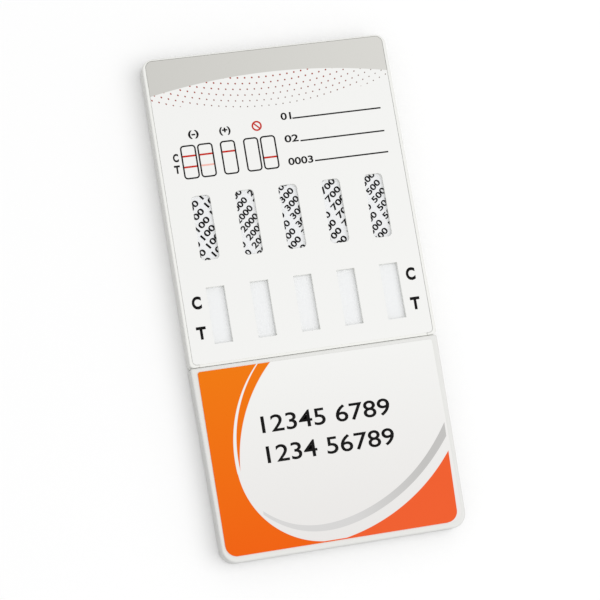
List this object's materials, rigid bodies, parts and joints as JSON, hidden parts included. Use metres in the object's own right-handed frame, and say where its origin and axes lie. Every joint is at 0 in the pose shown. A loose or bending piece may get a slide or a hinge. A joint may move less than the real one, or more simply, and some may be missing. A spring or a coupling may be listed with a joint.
{
  "type": "lateral flow cassette",
  "caption": "Flat dip card of lateral flow test strips in a two-part plastic shell, with a pull-off cap over the sample ends.",
  "frame": {"origin": "on the resting plane, under the middle of the whole card", "axes": "+X across the card, +Y from the cap towards the plain end, +Z out of the printed front"},
  "size_m": [0.0512, 0.1028, 0.0048],
  "materials": {
    "shell_plastic": "satin white moulded polystyrene",
    "cap_plastic": "satin white moulded polyethylene",
    "label_film": "printed satin film",
    "strip_backing": "white polystyrene card",
    "strip_pad": "white fibre pad",
    "strip_membrane": "white nitrocellulose",
    "strip_tape": "printed paper tape"
  },
  "bodies": {
    "body": {"back_shell": "shell_plastic", "front_shell": "shell_plastic", "front_label": "label_film", "strip_1_backing": "strip_backing", "strip_1_sample_pad": "strip_pad", "strip_1_conjugate_pad": "strip_pad", "strip_1_membrane": "strip_membrane", "strip_1_absorbent_pad": "strip_pad", "strip_1_name_tape": "strip_tape", "strip_2_backing": "strip_backing", "strip_2_sample_pad": "strip_pad", "strip_2_conjugate_pad": "strip_pad", "strip_2_membrane": "strip_membrane", "strip_2_absorbent_pad": "strip_pad", "strip_2_name_tape": "strip_tape", "strip_3_backing": "strip_backing", "strip_3_sample_pad": "strip_pad", "strip_3_conjugate_pad": "strip_pad", "strip_3_membrane": "strip_membrane", "strip_3_absorbent_pad": "strip_pad", "strip_3_name_tape": "strip_tape", "strip_4_backing": "strip_backing", "strip_4_sample_pad": "strip_pad", "strip_4_conjugate_pad": "strip_pad", "strip_4_membrane": "strip_membrane", "strip_4_absorbent_pad": "strip_pad", "strip_4_name_tape": "strip_tape", "strip_5_backing": "strip_backing", "strip_5_sample_pad": "strip_pad", "strip_5_conjugate_pad": "strip_pad", "strip_5_membrane": "strip_membrane", "strip_5_absorbent_pad": "strip_pad", "strip_5_name_tape": "strip_tape"},
    "cap": {"cap": "cap_plastic", "cap_label": "label_film"}
  },
  "joints": [
    {"name": "cap_slide", "type": "slide", "parent": "body", "child": "cap", "axis": [0, -1, 0], "range_m": [0, 0.045]}
  ]
}
